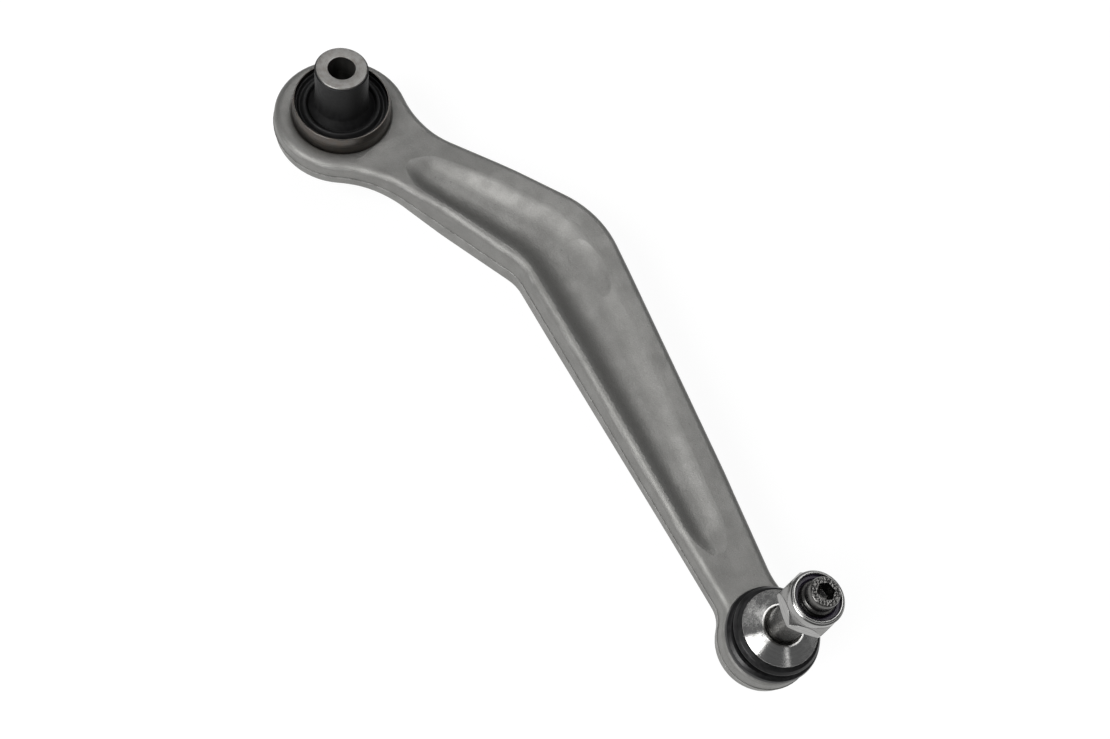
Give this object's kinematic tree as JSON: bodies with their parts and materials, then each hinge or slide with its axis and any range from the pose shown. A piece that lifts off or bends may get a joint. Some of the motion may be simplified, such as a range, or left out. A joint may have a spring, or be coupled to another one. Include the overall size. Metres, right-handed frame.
{
  "type": "suspension control arm",
  "caption": "Bent forged suspension arm with a rubber bush at one end and a sealed ball joint with a cone seat, threaded stud and lock nut at the other.",
  "frame": {"origin": "on the bush bore's axis, where it crosses the forging's parting plane", "axes": "+Z along the bush bore, to the side that the ball stud points to; +X to the centre of the ball; +Y to the side that the arm bows to; at rest the stud leans 4 degrees from +Z towards +Y"},
  "size_m": [0.3579, 0.0974, 0.1007],
  "materials": {
    "forged_aluminium": "shot-blasted, matt",
    "sleeve_steel": "drawn tube, satin",
    "core_steel": "bare, faced ends",
    "bush_rubber": "moulded, matt",
    "boot_rubber": "moulded, satin",
    "turned_steel": "turned, bright",
    "stud_steel": "dark, satin",
    "zinc_steel": "zinc plated",
    "cover_steel": "pressed sheet, zinc plated",
    "black_steel": "black coated",
    "seat_plastic": "moulded acetal",
    "insert_nylon": "dark nylon"
  },
  "bodies": {
    "bush_core": {"bush_inner_sleeve": "core_steel"},
    "bush_middle": {"bush_rubber": "bush_rubber"},
    "arm": {"arm_forging": "forged_aluminium", "bush_outer_sleeve": "sleeve_steel", "ball_seat": "seat_plastic", "end_cover": "cover_steel", "boot_lower_ring": "black_steel"},
    "boot": {"dust_boot": "boot_rubber"},
    "boot_top": {"boot_slip_ring": "black_steel", "boot_upper_ring": "black_steel"},
    "stud": {"ball_stud": "stud_steel", "cone_ring": "turned_steel"},
    "nut_travel": {"nut_insert_ring": "insert_nylon"},
    "nut": {"lock_nut": "zinc_steel"}
  },
  "joints": [
    {"name": "bush_twist", "type": "hinge", "parent": "bush_core", "child": "bush_middle", "pos_m": [0, 0, 0], "axis": [0, 0, 1], "range_deg": [-25, 25], "stiffness_Nm_per_rad": 90, "deforming": ["bush_rubber"]},
    {"name": "bush_tilt", "type": "hinge", "parent": "bush_middle", "child": "arm", "pos_m": [0, 0, 0], "axis": [0, 1, 0], "range_deg": [-4, 4], "stiffness_Nm_per_rad": 220, "deforming": ["bush_rubber"]},
    {"name": "ball_tilt_x", "type": "hinge", "parent": "arm", "child": "boot", "pos_m": [0.306, 0, 0], "axis": [1, 0, 0], "range_deg": [-10, 18], "deforming": ["dust_boot"]},
    {"name": "ball_tilt_y", "type": "hinge", "parent": "boot", "child": "boot_top", "pos_m": [0.306, 0, 0], "axis": [0, 1, 0], "range_deg": [-14, 14], "deforming": ["dust_boot"]},
    {"name": "stud_spin", "type": "hinge", "parent": "boot_top", "child": "stud", "pos_m": [0.306, 0, 0], "axis": [0, 0.0698, 0.9976], "continuous": true},
    {"name": "nut_slide", "type": "slide", "parent": "stud", "child": "nut_travel", "axis": [0, 0.0698, 0.9976], "range_m": [-0.004, 0.012]},
    {"name": "nut_turn", "type": "hinge", "parent": "nut_travel", "child": "nut", "pos_m": [0.306, 0.00349, 0.04988], "axis": [0, 0.0698, 0.9976], "range_deg": [-961, 2881]}
  ],
  "couplings": [
    {"joint": "nut_turn", "follows": "nut_slide", "rad_per_m": 4188.8}
  ]
}
